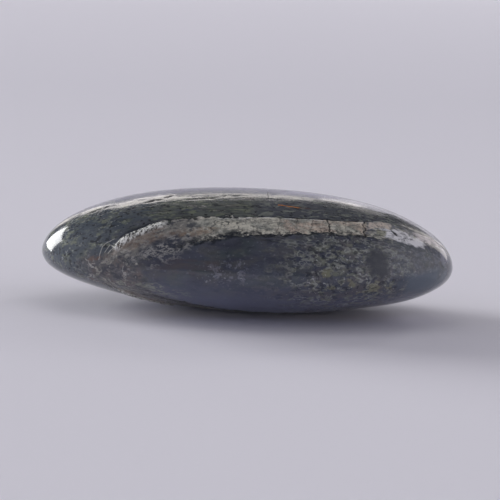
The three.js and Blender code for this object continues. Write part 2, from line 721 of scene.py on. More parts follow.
@dataclass(frozen=True)
class VeinSheet:
    """The pale vein: a sheet that dips into the stone and runs from one end to the other."""

    facing: tuple[float, float, float] = (-0.2, 0.866, 0.5)
    dip: tuple[float, float, float] = (0.0, -0.5, 0.866)
    fray: Cloud = Mottle((1.6, 1.1, 1.1), coarseness=0.6, shift=3.7)
    upper_fray_mm: tuple[float, float] = (4.0, 0.9)
    lower_fray_mm: tuple[float, float] = (4.0, 2.6)
    fray_along_mm: tuple[float, float] = (-3, 5)
    shake: Cloud = Specks((1.3, 0.9, 0.9), coarseness=0.6, shift=1.3)
    shake_mm: float = 0.9
    # Both edges run through points given as (along, square to the vein).
    upper_edge_mm: tuple[tuple[float, float], ...] = (
        (-19.5, -6.6), (-16.4, -5.7), (-14.3, -5.0), (-12.8, -4.8), (-10.3, -4.2), (-6.4, -3.7),
        (-0.4, -4.5), (5.4, -5.0), (11.7, -5.5), (16, -5.4), (19.3, -4.6), (23, -3.2), (26, -3.2),
        (29, -2.4), (31.5, -1.4),
    )
    lower_edge_mm: tuple[tuple[float, float], ...] = (
        (-19.5, -6.8), (-16, -7.6), (-14.6, -8.6), (-9.4, -9.2), (-6, -9.2), (-4, -8.7), (1.6, -8.8),
        (7.3, -9.1), (10.2, -8.9), (16.7, -8.6), (19.7, -8.4), (23, -8.1), (26.5, -6.4), (29, -4.7),
        (31.5, -2.6),
    )

    def drawn_edge(self, tree: Tree, along: Socket, points: tuple[tuple[float, float], ...]) -> Socket:
        """Adds an edge drawn smoothly through a few points.

        Args:
            tree: The node tree.
            along: The place along the stone, in millimetres.
            points: Pairs of a place along the stone and the edge's place square to the vein.

        Returns:
            The edge's place square to the vein, in millimetres.
        """
        first, last = points[0][0], points[-1][0]
        low = min(point[1] for point in points)
        high = max(point[1] for point in points)
        run = add_node(tree, MAP_RANGE, {"clamp": False, "From Min": first, "From Max": last},
                       {"Value": along})
        curve = add_node(tree, "ShaderNodeFloatCurve", links={"Value": run.outputs[0]})
        curve.mapping.extend = "HORIZONTAL"
        line = curve.mapping.curves[0]
        places = [((x - first) / (last - first), (y - low) / (high - low)) for x, y in points]
        line.points[0].location = places[0]
        line.points[1].location = places[-1]
        for place in places[1:-1]:
            line.points.new(*place)
        curve.mapping.update()
        back = add_node(tree, MAP_RANGE, {"clamp": False, "To Min": low, "To Max": high},
                        {"Value": curve.outputs[0]})
        return back.outputs[0]

    def frayed_edge(self, ground: Ground, wander: Socket, points: tuple[tuple[float, float], ...],
                    fray_mm: tuple[float, float]) -> Socket:
        """Adds an edge that wanders off its drawn line, more so at the blunt end.

        Args:
            ground: The ground, which knows the place along the stone already.
            wander: A noise round 0.
            points: The edge's points, as drawn_edge takes them.
            fray_mm: How far a wander of 1 takes the edge, at the blunt end and at the full end.

        Returns:
            The edge's place square to the vein, in millimetres.
        """
        along = ground.lengths[Measure.ALONG]
        fray = ground.add(MAP_RANGE,
                          {**SMOOTH, "From Min": self.fray_along_mm[0], "From Max": self.fray_along_mm[1],
                           "To Min": fray_mm[0], "To Max": fray_mm[1]}, {"Value": along})
        drawn = self.drawn_edge(ground.tree, along, points)
        return ground.add(MATH, {"operation": "MULTIPLY_ADD"},
                          {0: wander, 1: fray.outputs[0], 2: drawn}).outputs[0]

    def survey(self, tree: Tree, place: Socket) -> Ground:
        """Adds the nodes that say where a point lies in the stone.

        Args:
            tree: The node tree.
            place: The point, in millimetres.

        Returns:
            The ground that patterns are laid on.
        """
        axes = add_node(tree, "ShaderNodeSeparateXYZ", links={0: place})
        along = axes.outputs[0]
        square, depth = (
            add_node(tree, VECTOR_MATH, {"operation": "DOT_PRODUCT", 1: way}, {0: place}).outputs["Value"]
            for way in (self.facing, self.dip)
        )
        vein = add_node(tree, "ShaderNodeCombineXYZ", links={0: along, 1: square, 2: depth}).outputs[0]
        lengths = {Measure.ALONG: along, Measure.HEIGHT: axes.outputs[2]}
        ground = Ground(tree, {Lie.STONE: place, Lie.VEIN: vein}, lengths)
        shake = ground.add(MATH, {"operation": "MULTIPLY_ADD", 1: self.shake_mm, 2: -self.shake_mm / 2},
                           {0: self.shake.noise(ground)}).outputs[0]
        shaken = [ground.add(MATH, {"operation": "ADD"}, {0: side, 1: shake}).outputs[0]
                  for side in (along, square)]
        drawn = ground.add("ShaderNodeCombineXYZ", links=dict(enumerate(shaken)))
        ground.places[Lie.DRAWN] = drawn.outputs[0]
        wander = ground.add(MATH, {"operation": "SUBTRACT", 1: 0.5}, {0: self.fray.noise(ground)})
        upper = self.frayed_edge(ground, wander.outputs[0], self.upper_edge_mm, self.upper_fray_mm)
        lower = self.frayed_edge(ground, wander.outputs[0], self.lower_edge_mm, self.lower_fray_mm)
        for measure, high, low in ((Measure.BELOW_TOP, upper, square), (Measure.ABOVE_LOW, square, lower)):
            between = ground.add(MATH, {"operation": "SUBTRACT"}, {0: high, 1: low})
            ground.lengths[measure] = between.outputs[0]
        return ground


# Zones and bands that several layers share.
BLUNT_END = Patch((-30, -8, 8), (17.5, 16, 14), 0.25, 0.7, 4.0)
KEEL_RUN = Band(Measure.ALONG, -19, 50, 5)
FULL_END = Band(Measure.ALONG, 22, 50, 3)
IN_VEIN = (Band(Measure.BELOW_TOP, 0, 40), Band(Measure.ABOVE_LOW, 0, 40))
OVER_VEIN = Band(Measure.BELOW_TOP, -11.5, -0.1, 0.3)
BROKEN_VEIN = Band(Measure.ALONG, 19.7, 50, 0.3)
THROUGH = 90.0  # a reach along the dip that takes a patch right through the stone

# The nearly black body: blue-grey, greenish and brownish clouds with dark and pale specks.
BODY = (
    Layer("#383b46", (Cloud((9, 6, 4), 0.5, 0.12),), 0.6),
    Layer("#46514f", (Cloud((6, 4, 3), 0.54, 0.08, shift=11),), 0.55),
    Layer("#60636f", (Grit((7, 4, 2.5), 0.56, 0.1, coarseness=0.6, shift=23),), 0.35),
    Layer("#252931", (Mottle((1.6, 1.1, 0.8), 0.6, 0.06, coarseness=0.6, shift=8),), 0.35),
    Layer("#5f5e59", (Grit((3.4, 2.2, 1.3), 0.54, 0.07, shift=91),), 0.38),
    Layer("#92959e", (Specks((0.5, 0.5, 0.4), 0.66, 0.05, shift=5),), 0.2),
)

# Painted bounce light: the skin is drawn paler and bluer towards the keel, and palest at the very bottom.
# This stands in for the light that the pale paper throws up onto the shaded underside.
KEEL_BOUNCE_LIGHT = (
    Layer("#8e93ab", (KEEL_RUN, Band(Measure.HEIGHT, -9, 4.7, 3.5)), 0.6, 0.2),
    Layer("#d2d6e6", (KEEL_RUN, Band(Measure.HEIGHT, -9, 1.0, 1.5)), 0.85, 0.2),
)

# Olive and grey grains with dark specks round the blunt end.
BLUNT_END_MOTTLE = (
    Layer("#51575d", (BLUNT_END,), 0.85),
    Layer("#333c46", (BLUNT_END, Mottle((3.4, 2.6, 2.2), 0.53, 0.07, shift=35)), 0.75),
    Layer("#7f846f", (BLUNT_END, Specks((1.9, 1.7, 1.4), 0.54, 0.04, coarseness=0.55, shift=31)), 0.65),
    Layer("#8f958a", (BLUNT_END, Rings((1.5, 1.4, 1.2), 0.34, width=0.12, shift=33),
                      Cloud((3, 3, 3), 0.53, 0.05, shift=34)), 0.5),
    Layer("#222831", (BLUNT_END, Mottle((1.1, 0.9, 0.8), 0.6, 0.04, shift=37)), 0.7),
    Layer("#b7bbb8", (BLUNT_END, Specks((0.45, 0.45, 0.4), 0.64, 0.04, shift=41)), 0.6),
)

# The olive band that lies over the vein, finely streaked along the stone.
GREEN_BAND = (
    Layer("#60655e", (OVER_VEIN, Band(Measure.ALONG, -12, 4, 2), Specks((7, 3, 3), 0.4, 0.1)), 0.85),
    Layer("#363c3c", (OVER_VEIN, Band(Measure.ALONG, -12, 4, 2), Grit((2, 0.9, 0.9), 0.54, 0.05, shift=14)),
          0.7),
    Layer("#81886f", (OVER_VEIN, Band(Measure.ALONG, -14, 4, 2),
                      Mottle((1.4, 0.7, 0.7), 0.57, 0.05, coarseness=0.6, shift=15)), 0.6),
    Layer("#4a525a", (OVER_VEIN, Band(Measure.ALONG, -50, -12, 2), Grit((4, 1.2, 1.2), 0.5, 0.05)), 0.8),
    Layer("#4f5259", (OVER_VEIN, Band(Measure.ALONG, 3, 50, 2)), 0.8),
    Layer("#888d82", (OVER_VEIN, Band(Measure.ALONG, 3, 50, 2),
                      Grit((1.7, 0.9, 0.9), 0.54, 0.04, twist=0.8, lie=Lie.VEIN)), 0.7),
    Layer("#161a1f", (OVER_VEIN, Specks((0.9, 0.6, 0.6), 0.61, 0.03, shift=13)), 0.8),
)

# Dark streaks along the crown, and the few drawn lines that break its bright band.
CROWN_TATTER = Mottle((0.9, 0.5, 0.5), 0.46, 0.05, coarseness=0.65, shift=93)
CROWN_STREAKS = (
    Layer("#1b1e22", (Band(Measure.HEIGHT, 12, 30, 2),
                      Mottle((12, 1, 0.8), 0.61, 0.03, coarseness=0.6, shift=12)),
          0.65, 0.4, tooth_mm=-0.01),
    Layer("#45484c", (Band(Measure.HEIGHT, 12, 30, 2),
                      Mottle((3, 0.6, 0.6), 0.54, 0.05, coarseness=0.65, shift=92)),
          0.3, 0.1, tooth_mm=0.004),
    Layer("#14181d", (Line(((3.8, 5.5), (4.0, 4.0), (4.3, 2.4), (4.8, 0.7)), 0.08),), 0.8, 0.4, -0.04),
    Layer("#14181d", (Line(((-23.6, 5.7), (-22.3, 6.0), (-21.0, 6.1)), 0.4), CROWN_TATTER),
          0.95, 0.6, -0.04),
    Layer("#14181d", (Line(((-14.2, 4.2), (-12.4, 4.4), (-11.1, 5.5)), 0.5), CROWN_TATTER),
          0.95, 0.6, -0.04),
    Layer("#14181d", (Line(((-8.0, 2.9), (-6.1, 2.9), (-4.1, 2.6)), 0.35), CROWN_TATTER), 0.9, 0.6, -0.04),
    Layer("#14181d", (Line(((-3.7, 3.0), (-2.3, 3.4), (-0.6, 3.2)), 0.35), CROWN_TATTER), 0.8, 0.5, -0.03),
)

# The same minerals go on across the back, where thin pale threads cross them.
FAR_SIDE = Patch((2, 24, 9), (44, 28, 24), 0.3, 0.5, 5.0)
BACK = (
    Layer("#363b44", (FAR_SIDE,), 0.75),
    Layer("#555c53", (FAR_SIDE, Grit((8, 5, 3.5), 0.5, 0.08, coarseness=0.6, shift=101)), 0.7),
    Layer("#20252c", (FAR_SIDE, Grit((2.4, 1.7, 1.2), 0.54, 0.05, shift=102)), 0.7),
    Layer("#7f846f", (FAR_SIDE, Specks((6, 4, 3), 0.5, 0.08, shift=103),
                      Mottle((1.8, 1.5, 1.2), 0.54, 0.04, coarseness=0.6, shift=104)), 0.6),
    Layer("#9fa29b", (FAR_SIDE, Cloud((6, 4, 3), 0.54, 0.06, shift=105),
                      Rings((1.8, 1.5, 1.2), 0.36, width=0.12, shift=106)), 0.3),
    Layer("#76604f", (FAR_SIDE, Grit((4, 2, 1.6), 0.6, 0.05, shift=108)), 0.5),
    Layer("#a9a799", (FAR_SIDE, Threads((30, 11, 6), 0.5, detail=4, coarseness=0.55, width=0.01, shift=107),
                      Mottle((3, 2, 2), 0.45, 0.08, shift=109)), 0.65, 0.2, -0.03),
)

# Ringed grains and flecks at the fuller end, one round dark spot, a grey patch and painted bounce light low
# down.
FLECK_ZONE = Patch((17, -16, 8), (9.5, 7, 7), 0.4)
UPPER_FLECKS = Patch((16, -14.5, 11), (11, 7, 2.8), 0.4)
FLECKS = (
    Layer("#474b58", (FLECK_ZONE,), 0.75),
    Layer("#635f5e", (FLECK_ZONE, Mottle((2.4, 1.8, 1.6), 0.52, 0.08, shift=18)), 0.6),
    Layer("#6f7268", (UPPER_FLECKS, Mottle((2, 1, 0.6), 0.55, 0.04, shift=7)), 0.65),
    Layer("#9a9d98", (UPPER_FLECKS, Cloud((3, 2, 2), 0.46, 0.06, shift=6),
                      Rings((2.4, 1.5, 0.8), 0.36, width=0.13, shift=3)), 0.55),
    Layer("#7c7f71", (FLECK_ZONE, Mottle((1.3, 1.1, 0.9), 0.56, 0.04, coarseness=0.6, shift=17)), 0.7),
    Layer("#a3a69f", (FLECK_ZONE, Specks((2.4, 1.8, 1.6), 0.47, 0.06, shift=9),
                      Rings((1.5, 1.3, 1), 0.36, width=0.13, shift=4)), 0.6),
    Layer("#89876c", (Patch((18, -17, 5.6), (7, 6, 4)), Mottle((1.7, 1.4, 1.2), 0.6, 0.04, shift=19)), 0.6),
    Layer("#c0c1c0", (FLECK_ZONE, Specks((0.4, 0.4, 0.35), 0.66, 0.04, shift=20)), 0.6),
    Layer("#242933", (FLECK_ZONE, Mottle((0.9, 0.7, 0.6), 0.58, 0.04, shift=21)), 0.65),
    Layer("#6b6d77", (Patch((7.5, -19.5, 5.5), (5, 4, 3), 0.4), Cloud((2.4, 1.8, 1.6), 0.5, 0.06, shift=24),
                      Rings((1.7, 1.5, 1.3), 0.36, width=0.12, shift=22)), 0.5),
    Layer("#6d7380", (FULL_END, Band(Measure.HEIGHT, 7.5, 13, 0.8),
                      Mottle((0.9, 0.8, 0.5), 0.55, 0.06, coarseness=0.65, shift=29)), 0.45),
    Layer("#a5a4a8", (FULL_END, Band(Measure.HEIGHT, 7.5, 13, 0.8),
                      Specks((0.5, 0.5, 0.4), 0.64, 0.04, shift=30)), 0.45),
    # Painted bounce light: paler and bluer low down, as on the keel.
    Layer("#8e93ab", (FLECK_ZONE, Band(Measure.HEIGHT, -9, 3.6, 3)), 0.55),
    Layer("#2e323c", (Patch((21.9, -15.3, 10.2), (1.8, 2.6, 2.2), 0.35, 0.8, 1.5),), 0.93),
    Layer("#626c78", (Patch((28.5, -10, 6.9), (5, 5, 1.7), 0.4, 0.6),), 0.85),
)

# The weathered brown patch below the vein's blunt end, the faint marks beside it and painted bounce light
# low down.
BROWN_ZONE = Patch((-17, -16.5, 6.8), (5.6, 4, 3.2), 0.4)
FRONT_LEFT = (
    Layer("#5f5c5d", (BROWN_ZONE,), 0.75, 0.2),
    Layer("#746860", (BROWN_ZONE, Grit((2.2, 1.6, 1.6), 0.54, 0.08, shift=25)), 0.6),
    Layer("#343944", (BROWN_ZONE, Grit((1.3, 1.1, 0.9), 0.55, 0.05, shift=26)), 0.75),
    Layer("#a3a19c", (BROWN_ZONE, Specks((0.7, 0.6, 0.6), 0.62, 0.04, shift=27)), 0.5),
    Layer("#9fa292", (Patch((-12, -16.5, 4.4), (6.5, 3, 1.4), 0.3), Cloud((2, 2, 1), 0.46, 0.06, shift=28),
                      Threads((2, 1, 0.7), 0.5, detail=4, coarseness=0.65, width=0.06, shift=2)), 0.7),
    Layer("#5a504f", (Patch((-6, -20, 8.8), (6, 3, 1)), Mottle((5, 2, 0.7), 0.46, 0.1, shift=43)), 0.4),
    Layer("#8c8e9a", (Patch((0.5, -20.5, 7.8), (3, 3, 2.2), 0.3),
                      Mottle((0.9, 0.8, 0.8), 0.57, 0.05, coarseness=0.65, shift=47)), 0.45),
    Layer("#c5c7cb", (Patch((0, -20.5, 8), (4, 3, 2.4), 0.3),
                      Specks((0.45, 0.4, 0.4), 0.66, 0.03, shift=48)), 0.3),
    # Painted bounce light: paler and bluer low down, as on the keel.
    Layer("#8e93ab", (Band(Measure.HEIGHT, -9, 3.2, 1.5), Band(Measure.ALONG, -17, 2, 3)), 0.5),
)

# The vein itself: sunk a hair's breadth, blocky and pale, and broken and dark at its blunt end.
VEIN = (
    Layer("#d6d2c1", IN_VEIN, 1.0, 0.2, -0.05),
    Layer("#8a8f88", (*IN_VEIN, Specks((5, 2.5, 2.5), 0.52, 0.08, shift=53)), 0.75),
    Layer("#d4b8a4", (*IN_VEIN, Band(Measure.ALONG, 7, 20, 1), Mottle((3, 2, 2), 0.5, 0.1, shift=59)), 0.6),
    Layer("#676964", (*IN_VEIN, Grit((1.7, 1.2, 1.2), 0.55, 0.06, coarseness=0.7, shift=54)),
          0.65, tooth_mm=-0.02),
    Layer("#dcd8ca", (*IN_VEIN, Grit((1.2, 0.8, 0.8), 0.57, 0.05, coarseness=0.7, shift=55)),
          0.65, tooth_mm=0.02),
    Layer("#74746c", (*IN_VEIN, Specks((0.3, 1.6, 1.6), 0.56, 0.08, lie=Lie.VEIN)), 0.35, tooth_mm=-0.02),
    Layer("#2b2f36", (*IN_VEIN,
                      Threads((3.5, 0.9, 0.9), 0.5, detail=4, coarseness=0.6, width=0.03, shift=62,
                              lie=Lie.VEIN),
                      Cloud((2, 1, 1), 0.48, 0.05, shift=63)), 0.6, 0.4, -0.03),
    Layer("#23282c", (*IN_VEIN, Mottle((0.5, 0.4, 0.4), 0.62, 0.03, shift=61)), 0.75, 0.4, -0.03),
    Layer("#1d2229", (Band(Measure.ABOVE_LOW, -0.6, 0.7, 0.35), Band(Measure.ALONG, -6, 21, 2),
                      Mottle((0.8, 0.6, 0.6), 0.53, 0.04, coarseness=0.6, shift=56)), 0.85, 0.3, -0.04),
    Layer("#76736f", (*IN_VEIN, Band(Measure.ALONG, -50, -5.5, 2)), 0.75),
    Layer("#3a3f49", (*IN_VEIN, Band(Measure.ALONG, -50, -4, 2.5),
                      Grit((1.7, 1.1, 1.1), 0.53, 0.05, coarseness=0.7, shift=57)), 0.8, 0.12, -0.04),
    Layer("#b5b2a8", (*IN_VEIN, Band(Measure.ALONG, -50, -4, 2.5),
                      Grit((1, 0.7, 0.7), 0.57, 0.04, coarseness=0.7, shift=58)), 0.7),
    Layer("#84705e", (*IN_VEIN, Patch((-4.8, -7, 0), (2.8, 0.8, THROUGH), 0.3, lie=Lie.VEIN),
                      Grit((1.6, 1, 1), 0.47, 0.08, shift=64)), 0.75),
    Layer("#7d6c5e", (*IN_VEIN, Patch((-12, -6.3, 0), (5.5, 0.9, THROUGH), 0.3, lie=Lie.VEIN),
                      Grit((1.6, 1, 1), 0.48, 0.08, shift=65)), 0.65),
    Layer("#343946", (Patch((-9.5, -8.4, 0), (4.4, 1.6, THROUGH), 0.4, 1.2, lie=Lie.VEIN),),
          0.85, 0.12, -0.05),
    Layer("#a9a7a2", (Patch((-9.5, -8.4, 0), (4.8, 1.9, THROUGH), 0.4, 1.2, lie=Lie.VEIN),
                      Cloud((2, 1.2, 1.2), 0.48, 0.06, shift=69),
                      Threads((1.6, 0.9, 0.9), 0.5, detail=5, coarseness=0.7, width=0.06, shift=66)),
          0.7, 0.25, 0.03),
    Layer("#1c2129", (Patch((-0.8, -8.6, 0), (6.5, 0.9, THROUGH), 0.4, 1.2, 1.3, lie=Lie.VEIN),
                      Mottle((1.1, 0.8, 0.8), 0.47, 0.06, coarseness=0.65, shift=70)), 0.8, 0.2, -0.04),
    # A thin raised lip along the vein's upper edge, modelled in the skin. Its pale colour is a painted
    # highlight, where the lip catches the light from behind.
    Layer("#e2e1da", (Band(Measure.BELOW_TOP, 0.02, 0.18, 0.05), Band(Measure.ALONG, -5, 19, 1),
                      Mottle((2, 2, 2), 0.48, 0.04, shift=67)), 0.9, 0.12, 0.03),
    Layer("#15191e", (Band(Measure.BELOW_TOP, -0.25, -0.04, 0.06), Band(Measure.ALONG, -10, 21, 2),
                      Mottle((2, 2, 2), 0.4, 0.05, shift=68)), 0.8, 0.3, -0.05),
    Layer("#171b21", (Band(Measure.ABOVE_LOW, -0.5, -0.05, 0.1), Band(Measure.ALONG, 3, 20, 2),
                      Specks((1.5, 1, 1), 0.48, 0.05, shift=73)), 0.75, 0.3, -0.04),
)

# The vein's last blocks at the fuller end: grey, cream and olive pieces with dark joints.
VEIN_BLOCKS = (
    Layer("#696e78", (*IN_VEIN, BROKEN_VEIN,
                      Mottle((2.6, 1.2, 1.2), 0.49, 0.05, coarseness=0.65, shift=81)), 0.85, 0.12),
    Layer("#eeedf0", (BROKEN_VEIN, Patch((24.8, -6.1, 0), (3.2, 1.6, THROUGH), lie=Lie.VEIN)), 0.9, 0.2),
    Layer("#d9ccbe", (Band(Measure.ALONG, 19.9, 23.2, 0.15), Band(Measure.BELOW_TOP, 0.15, 2.1, 0.12)),
          0.9, 0.2),
    Layer("#93947f", (Band(Measure.ALONG, 21.2, 22.6, 0.2), Band(Measure.BELOW_TOP, 2.7, 4.2, 0.15)),
          0.9, 0.2),
    Layer("#e0d7d8", (*IN_VEIN, Patch((29, -3.7, 0), (2.6, 1.5, THROUGH), lie=Lie.VEIN)), 0.85, 0.2),
    Layer("#707379", (BROKEN_VEIN, *IN_VEIN, Grit((0.9, 0.7, 0.7), 0.54, 0.05, coarseness=0.7, shift=82)),
          0.55),
    Layer("#1b1f26", (BROKEN_VEIN, *IN_VEIN,
                      Threads((3, 1.6, 1.6), 0.5, detail=3, coarseness=0.6, width=0.03, shift=83)),
          0.8, 0.4, -0.05),
)

# Cracks across the vein, drawn one by one as (along, square to the vein).
CRACKS = (
    Layer("#14181d", (Line(((13.9, -5.3), (14.3, -7), (14.7, -8.4), (15.7, -9.9)), 0.1),),
          0.95, 0.4, -0.16),
    Layer("#14181d", (Line(((19.3, -4.5), (19.1, -5.5), (19.5, -6.6), (19.3, -7.6), (19.8, -8.5)), 0.12),),
          0.85, 0.4, -0.14),
    Layer("#14181d", (Line(((19.6, -7), (21.5, -6.2), (23.3, -5.5), (24.2, -6.4)), 0.1),), 0.9, 0.4, -0.1),
    Layer("#2b2e2e", (Line(((9.6, -5.3), (9.5, -6.7)), 0.07),), 0.8, 0.4, -0.05),
    Layer("#2b2e2e", (Line(((11.7, -5.5), (11.9, -7), (11.6, -8.8)), 0.06),), 0.7, 0.4, -0.04),
    Layer("#2b2e2e", (Line(((7.0, -5.2), (7.1, -6.6), (6.8, -8.8)), 0.06),), 0.6, 0.4, -0.04),
    Layer("#2b2e2e", (Line(((16.2, -5.4), (16.5, -7), (17, -8.6)), 0.05),), 0.5, 0.4, -0.03),
    Layer("#262b31", (Line(((-1.4, -5.6), (-0.9, -5.3), (-0.3, -5.6), (-0.4, -6.2), (-1.0, -6.4),
                            (-1.5, -6.0)), 0.09),), 0.85, 0.3, -0.04),
    Layer("#262b31", (Line(((-2.6, -5.0), (-2.3, -5.8), (-2.9, -6.4), (-2.5, -7.4)), 0.09),),
          0.8, 0.3, -0.04),
)

# The grainy ridge at the vein's blunt end, with its glints painted in near white, the pale squiggles round
# it and the orange streak.
RIDGE = (
    Layer("#252a33", (Line(((-16.4, -4.4), (-15.4, -3.9), (-14, -3.7), (-12.2, -3.3), (-9.8, -3.2)), 0.3),),
          0.85),
    Layer("#8a7c6f", (Line(((-16.9, -6.1), (-15.6, -5.6), (-14, -5.4), (-12.3, -5), (-10.4, -4.6)), 0.5),),
          0.7),
    # Painted highlight: the ridge is raised and rough in the skin, but its near-white colour stands in for
    # the glints that it catches from the window.
    Layer("#f8f8f0", (Line(((-16.7, -5.8), (-15.7, -5.1), (-14.1, -4.8), (-12.3, -4.4), (-10.5, -4.0)),
                           0.65),
                      Grit((0.42, 0.6, 0.6), 0.455, 0.04, coarseness=0.75, shift=71)),
          0.97, 0.12, 0.22, 0.1),
    Layer("#5d5a55", (Line(((-16.2, -5.7), (-14.3, -5.1), (-12.2, -4.7), (-10.4, -4.3)), 0.4),
                      Mottle((0.5, 0.7, 0.7), 0.56, 0.05, shift=72)), 0.6),
    Layer("#cfccc2", (Line(((-19.6, -6), (-19.2, -4.6), (-18.4, -4.4), (-17.4, -4.2)), 0.065),),
          0.65, 0.3, 0.04),
    Layer("#cfccc2", (Line(((-18.7, -5.7), (-18, -5), (-17.3, -5.7), (-18.2, -6.1)), 0.065),),
          0.6, 0.3, 0.04),
    Layer("#d5d2c8", (Line(((-21.9, -4.7), (-21.3, -5.6), (-20.4, -6.1)), 0.045),), 0.5, 0.3, 0.04),
    Layer("#d5d2c8", (Line(((-15.6, -8.3), (-15.5, -9), (-15.1, -9.3)), 0.04),), 0.4, 0.3, 0.02),
    Layer("#735547", (Line(((-21.5, -5), (-20.2, -5.7), (-19.4, -5.9)), 0.12),), 0.45),
    Layer("#c87c3a", (Line(((6.1, -1.1), (7.7, -1.5), (9.4, -1.9)), 0.14),), 0.9),
    Layer("#5a3f3a", (Line(((9.4, -1.9), (11, -2.1)), 0.2),), 0.6),
)


@dataclass(frozen=True)
class PolishedSerpentine:
    """Serpentinite, ground round and polished by hand.

    To the eye it is nearly black and glassy, with crisp reflections, because so fine a grain takes
    a high polish. Its softer and weathered minerals stay a little duller and lower. Its own fibres
    are thinner than 0.1 mm: the finest clouds are drawn 0.3 to 0.5 mm wide, so that they show.
    """

    body: str = "#4a4d58"
    roughness: float = 0.09
    ior: float = 1.56
    vein: VeinSheet = VeinSheet()
    families: tuple[tuple[str, tuple[Layer, ...]], ...] = (
        ("body", BODY),
        ("keel", KEEL_BOUNCE_LIGHT),
        ("blunt_end_mottle", BLUNT_END_MOTTLE),
        ("green_band", GREEN_BAND),
        ("crown_streaks", CROWN_STREAKS),
        ("back", BACK),
        ("flecks", FLECKS),
        ("front_left", FRONT_LEFT),
        ("vein", VEIN),
        ("vein_blocks", VEIN_BLOCKS),
        ("cracks", CRACKS),
        ("ridge", RIDGE),
    )

    def coat(self, name: str, layers: tuple[Layer, ...]) -> Tree:
        """Builds one family of layers as a group that changes colour, roughness and tooth.

        Args:
            name: The family's name.
            layers: Its layers, the lowest first.

        Returns:
            The shader node group.
        """
        look = {"Colour": "NodeSocketColor", "Roughness": "NodeSocketFloat", "Tooth": "NodeSocketFloat"}
        entry = open_group(name, "ShaderNodeTree", {**GROUND_SOCKETS, **look}, look)
        ground = Ground.inside(entry)
        colour, roughness, tooth = (entry.outputs[key] for key in look)
        for layer in layers:
            mask = layer.mask(ground)
            share = ground.add(MATH, {"operation": "MULTIPLY", 1: layer.strength}, {0: mask}).outputs[0]
            colour = ground.add(MIX, {"data_type": "RGBA", COLOUR_B: linear(layer.colour)},
                                {0: share, COLOUR_A: colour}).outputs[MIXED_COLOUR]
            if layer.roughness is not None:
                roughness = ground.add(MIX, {FLOAT_B: layer.roughness},
                                       {0: share, FLOAT_A: roughness}).outputs[0]
            if layer.tooth_mm:
                tooth = ground.add(MATH, {"operation": "MULTIPLY_ADD", 1: layer.tooth_mm},
                                   {0: mask, 2: tooth}).outputs[0]
        ground.add("NodeGroupOutput", links=dict(zip(look, (colour, roughness, tooth))))
        return ground.tree

    def material(self) -> bpy.types.Material:
        """Builds the stone's material.

        Returns:
            The material.
        """
        made = bpy.data.materials.new("polished_serpentine")
        made.use_nodes = True
        tree = made.node_tree
        tree.nodes.clear()
        place = add_node(tree, "ShaderNodeTexCoord")
        in_mm = add_node(tree, VECTOR_MATH, {"operation": "SCALE", "Scale": 1 / MM},
                         {0: place.outputs["Object"]})
        ground = self.vein.survey(tree, in_mm.outputs[0])
        bare = {"Colour": linear(self.body), "Roughness": self.roughness, "Tooth": 0.0}
        look = {}
        for name, layers in self.families:
            coat = ground.add("ShaderNodeGroup", {"node_tree": self.coat(name, layers), **bare},
                              {**ground.sockets(), **look})
            look = {key: coat.outputs[key] for key in bare}
        bump = ground.add("ShaderNodeBump", {"Distance": MM, "Strength": 1.0}, {"Height": look["Tooth"]})
        shader = ground.add("ShaderNodeBsdfPrincipled", {"IOR": self.ior},
                            {"Base Color": look["Colour"], "Roughness": look["Roughness"],
                             "Normal": bump.outputs[0]})
        ground.add("ShaderNodeOutputMaterial", links={"Surface": shader.outputs[0]})
        return made

    def relief(self, name: str, layers: tuple[Layer, ...]) -> Tree:
        """Builds one family's relief as a group that adds to a height.

        Args:
            name: The family's name.
            layers: Its layers that have relief.

        Returns:
            The geometry node group.
        """
        height = {"Lift": "NodeSocketFloat"}
        entry = open_group(name + "_relief", "GeometryNodeTree", {**GROUND_SOCKETS, **height}, height)
        ground = Ground.inside(entry)
        lift = entry.outputs["Lift"]
        for layer in layers:
            lift = ground.add(MATH, {"operation": "MULTIPLY_ADD", 1: layer.relief_mm * MM},
                              {0: layer.mask(ground), 2: lift}).outputs[0]
        ground.add("NodeGroupOutput", links={"Lift": lift})
        return ground.tree

    def carve(self, stone: bpy.types.Object) -> None:
        """Sinks and raises the skin by the layers' relief.

        Args:
            stone: The skin, active and in object mode.
        """
        shape = {"Geometry": "NodeSocketGeometry"}
        entry = open_group("mineral_relief", "GeometryNodeTree", shape, shape)
        tree = entry.id_data
        place = add_node(tree, "GeometryNodeInputPosition")
        in_mm = add_node(tree, VECTOR_MATH, {"operation": "SCALE", "Scale": 1 / MM},
                         {0: place.outputs[0]})
        ground = self.vein.survey(tree, in_mm.outputs[0])
        lift = {}
        for name, layers in self.families:
            raised = tuple(layer for layer in layers if layer.relief_mm)
            if raised:
                added = ground.add("GeometryNodeGroup", {"node_tree": self.relief(name, raised)},
                                   {**ground.sockets(), **lift})
                lift = {"Lift": added.outputs["Lift"]}
        normal = ground.add("GeometryNodeInputNormal")
        offset = ground.add(VECTOR_MATH, {"operation": "SCALE"},
                            {0: normal.outputs[0], "Scale": lift["Lift"]})
        moved = ground.add("GeometryNodeSetPosition",
                           links={"Geometry": entry.outputs[0], "Offset": offset.outputs[0]})
        ground.add("NodeGroupOutput", links={0: moved.outputs[0]})
        modifier = stone.modifiers.new("mineral_relief", "NODES")
        modifier.node_group = tree
        bpy.ops.object.modifier_apply(modifier=modifier.name)
        for group in list(bpy.data.node_groups):
            if group.bl_idname == "GeometryNodeTree":
                bpy.data.node_groups.remove(group)


